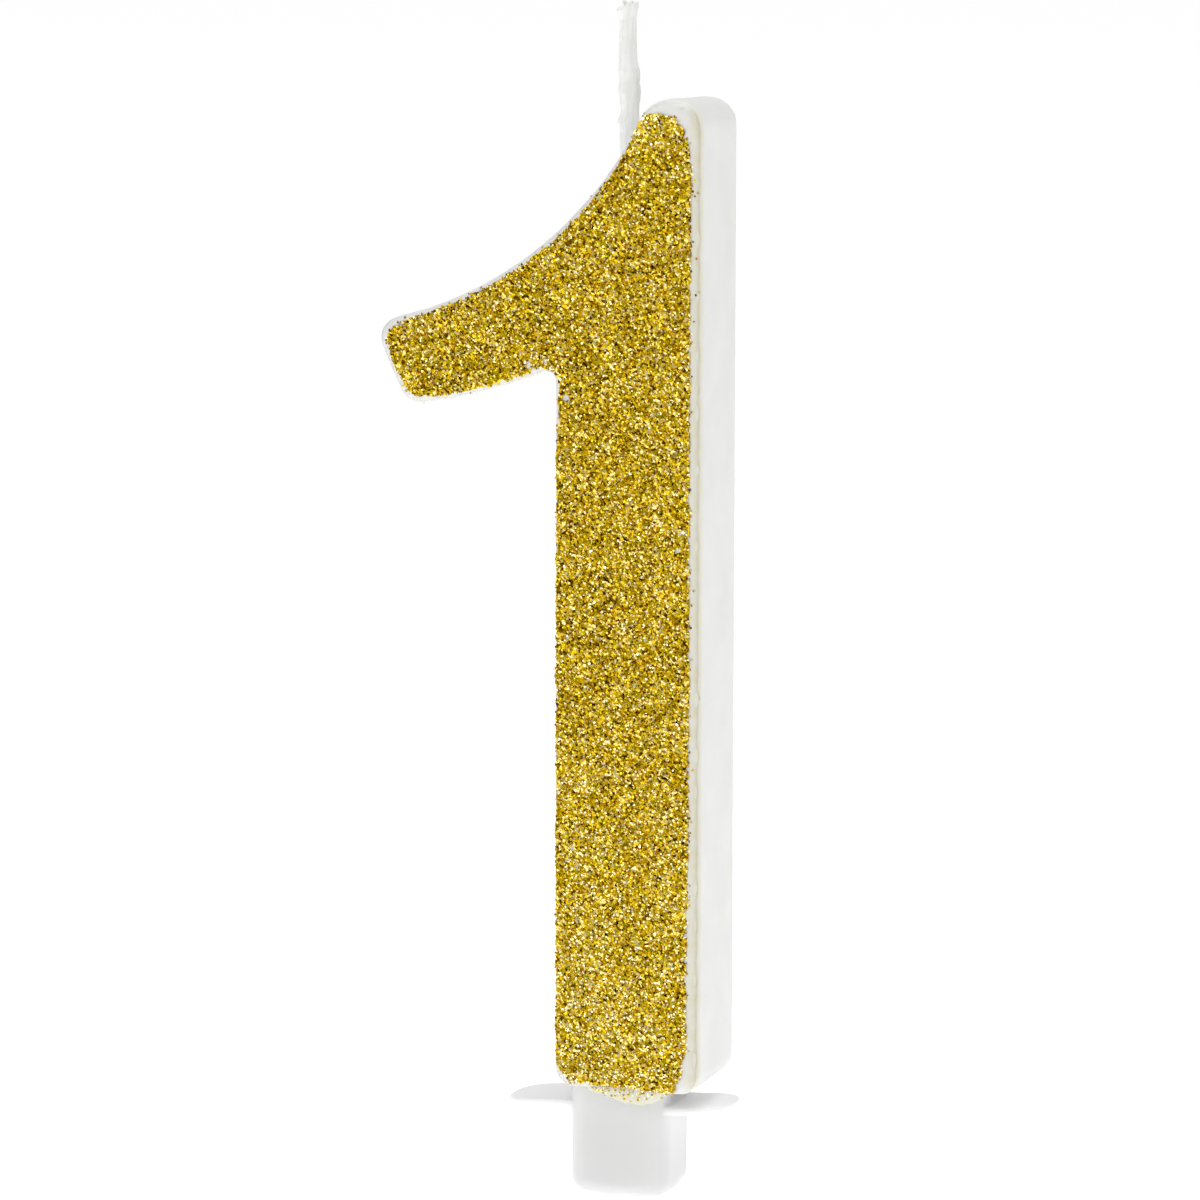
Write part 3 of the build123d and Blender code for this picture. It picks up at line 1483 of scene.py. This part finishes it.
    def lay_flakes(self, name: str, flakes: list[tuple], template: Object) -> Object:
        """Copies the template's mesh to every flake's place and joins them.

        Args:
            name: the new piece's name.
            flakes: the flakes from scatter.
            template: the one flake that is copied.

        Returns:
            The piece that holds the flakes.
        """
        shape = vertex_array(template)
        faces = [tuple(p.vertices) for p in template.data.polygons]
        vertices: list[np.ndarray] = []
        polygons: list[tuple[int, ...]] = []
        tones: list[int] = []
        for place, side, across, up, radius, tone in flakes:
            frame_axes = np.array([side * radius, across * radius, up * self.flake_thickness])
            start = len(vertices) * len(shape)
            vertices.append(shape @ frame_axes + np.array(place))
            polygons.extend(tuple(start + corner for corner in face) for face in faces)
            tones.extend([tone] * len(faces))
        mesh = bpy.data.meshes.new(name)
        mesh.from_pydata(np.concatenate(vertices).tolist(), [], polygons)
        mesh.update()
        piece = add_object(name, mesh)
        wear(piece, *self.foils)
        mesh.polygons.foreach_set("material_index", tones)
        return piece


# ------------------------------------------------------------------ the studio


@dataclass(frozen=True)
class SoftLamp:
    """A square soft lamp: where it stands, the length of its side and its power in watts."""

    name: str
    place: Triple
    size: float
    power: float


@dataclass
class Studio:
    """A pale floor, soft lamps and the camera."""

    azimuth: float = math.radians(18.2)
    elevation: float = math.radians(8.4)
    roll: float = math.radians(0.1)
    distance: float = 0.833
    lens: float = 189.8
    aim: Triple = (-3.57 * MM, 0.0, 67.4 * MM)
    sky: float = 0.49
    lamps: tuple[SoftLamp, ...] = (
        SoftLamp("key_softbox", (-0.45, -0.75, 0.75), 0.4, 1.9),
        SoftLamp("top_softbox", (0.1, 0.1, 0.95), 0.6, 3.9),
        SoftLamp("rim_softbox", (0.125, 0.09, 0.08), 0.1, 0.004),
    )

    def build(self) -> None:
        """Sets up the camera, the floor, the lamps and the sky."""
        self.set_camera()
        self.lay_floor()
        for lamp in self.lamps:
            self.add_lamp(lamp)
        world = bpy.data.worlds.new("studio_sky")
        world.use_nodes = True
        sky = world.node_tree.nodes["Background"]
        sky.inputs["Color"].default_value = (1, 1, 1, 1)
        sky.inputs["Strength"].default_value = self.sky
        bpy.context.scene.world = world
        bpy.context.scene.view_settings.view_transform = "Standard"

    def set_camera(self) -> None:
        """Places the camera a little to the right and above, looking at the digit."""
        data = bpy.data.cameras.new("camera")
        data.lens = self.lens
        data.clip_start, data.clip_end = 0.01, 20
        camera = add_object("camera", data)
        back = Vector((
            math.sin(self.azimuth) * math.cos(self.elevation),
            -math.cos(self.azimuth) * math.cos(self.elevation),
            math.sin(self.elevation),
        ))
        camera.location = Vector(self.aim) + back * self.distance
        camera.rotation_mode = "QUATERNION"
        level = (-back).to_track_quat("-Z", "Y")
        camera.rotation_quaternion = level @ Quaternion((0, 0, 1), self.roll)
        bpy.context.scene.camera = camera

    def lay_floor(self) -> None:
        """Lays the floor at the foot of the holder."""
        clear_selection()
        level = box_of("cake_holder")[0].z - 0.05 * MM
        bpy.ops.mesh.primitive_plane_add(size=24, location=(0, 0, level))
        floor = bpy.context.object
        floor.name = "studio_floor"
        wear(floor, PaperFloorFinish().make("pale_floor"))

    def add_lamp(self, lamp: SoftLamp) -> None:
        """Adds a lamp that faces the middle of the candle.

        Args:
            lamp: the lamp.
        """
        data = bpy.data.lights.new(lamp.name, "AREA")
        data.size = lamp.size
        data.energy = lamp.power
        softbox = add_object(lamp.name, data)
        softbox.location = lamp.place
        towards = Vector(self.aim) - Vector(lamp.place)
        softbox.rotation_mode = "QUATERNION"
        softbox.rotation_quaternion = towards.to_track_quat("-Z", "Y")


def main() -> None:
    """Builds the studio and every sub-assembly in order."""
    logging.basicConfig(level=logging.INFO, format="%(message)s")
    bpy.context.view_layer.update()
    Studio().build()
    CakeHolder().build()
    wax = WaxDigit().build()
    face = FaceMap(wax)
    Wick().build()
    glue = GlueFace().build(face)
    GlitterFace().build(face, glue)


if __name__ == "__main__":
    main()
